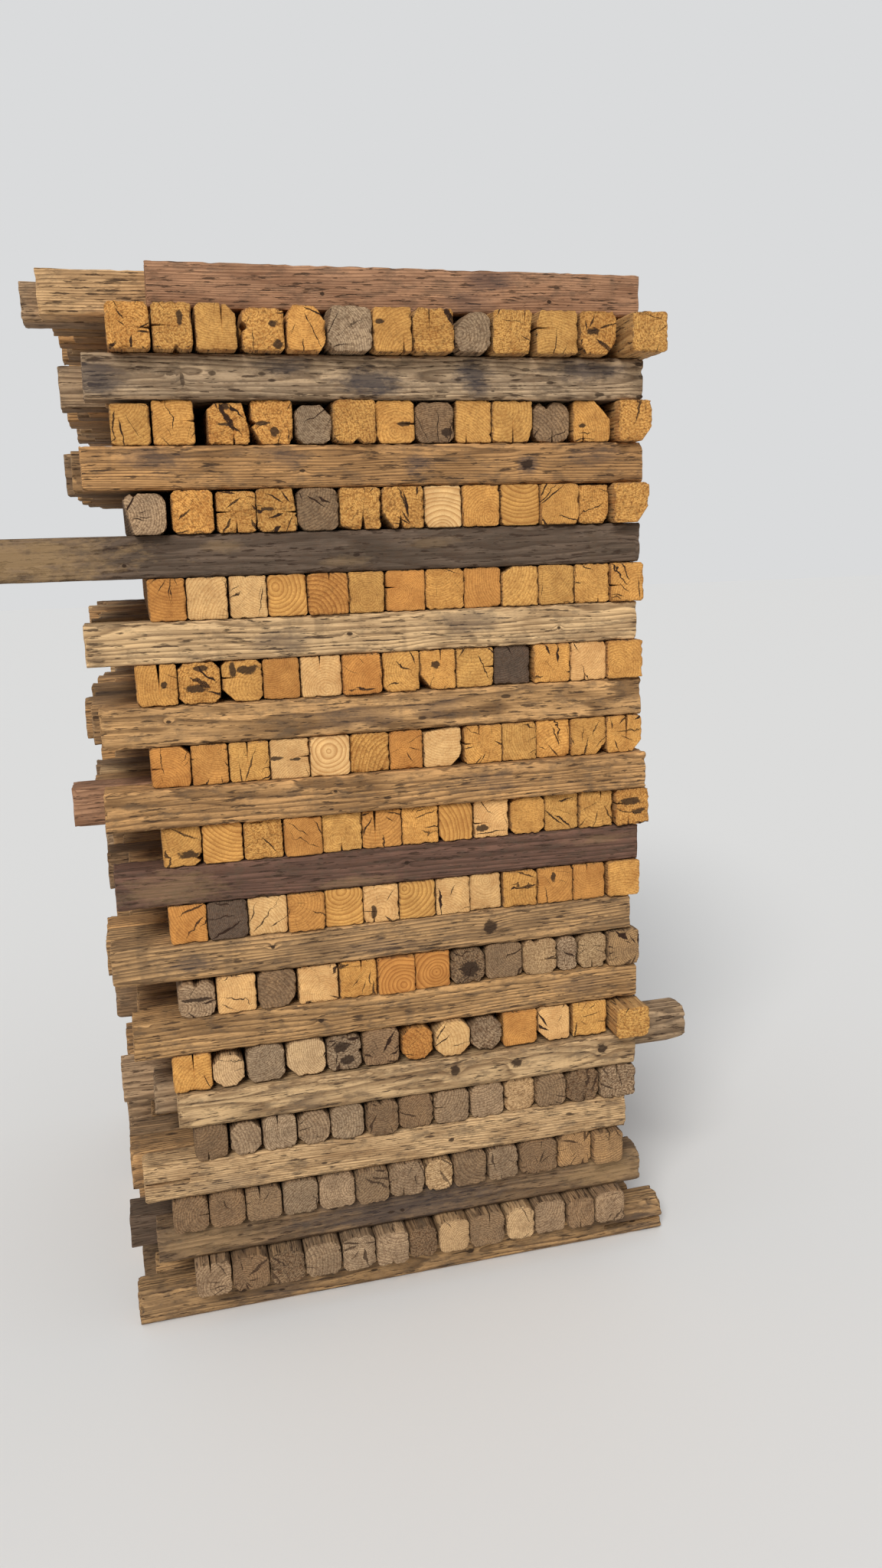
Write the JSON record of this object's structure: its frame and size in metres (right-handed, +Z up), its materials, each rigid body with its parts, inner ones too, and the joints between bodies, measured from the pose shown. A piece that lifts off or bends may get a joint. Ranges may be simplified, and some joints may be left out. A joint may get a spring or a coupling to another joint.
{
  "type": "stack of lumber",
  "caption": "Tall free-standing stack of reclaimed square timbers, piled in crossed courses that show long sides and sawn ends by turns.",
  "frame": {"origin": "on the floor, under the middle of the stack's bounding box", "axes": "+Z up; -Y is the front, where the long sides of the crosswise timbers and the sawn ends of the lengthwise timbers show; +X to the right of someone who faces the front"},
  "size_m": [1.369, 1.118, 2.025],
  "materials": {
    "long_sides": "dry sawn side grain, worn, with stains and nail holes",
    "sawn_ends": "fresh sawn end grain, golden, with drying cracks",
    "weathered_ends": "grey brown weathered end grain"
  },
  "bodies": {
    "root": {"course_01_crosswise": "long_sides", "course_02_lengthwise": "weathered_ends", "course_03_crosswise": "long_sides", "course_04_lengthwise": "weathered_ends", "course_05_crosswise": "long_sides", "course_06_lengthwise": "weathered_ends", "course_07_crosswise": "long_sides", "course_08_lengthwise": "sawn_ends", "course_09_crosswise": "long_sides", "course_10_lengthwise": "sawn_ends", "course_11_crosswise": "long_sides", "course_12_lengthwise": "sawn_ends", "course_13_crosswise": "long_sides", "course_14_lengthwise": "sawn_ends", "course_15_crosswise": "long_sides", "course_16_lengthwise": "sawn_ends", "course_17_crosswise": "long_sides", "course_18_lengthwise": "sawn_ends", "course_19_crosswise": "long_sides", "course_20_lengthwise": "sawn_ends", "course_21_crosswise": "long_sides", "course_22_lengthwise": "sawn_ends", "course_23_crosswise": "long_sides", "course_24_lengthwise": "sawn_ends", "course_25_crosswise": "long_sides", "course_26_lengthwise": "sawn_ends", "course_27_crosswise": "long_sides"}
  },
  "joints": []
}
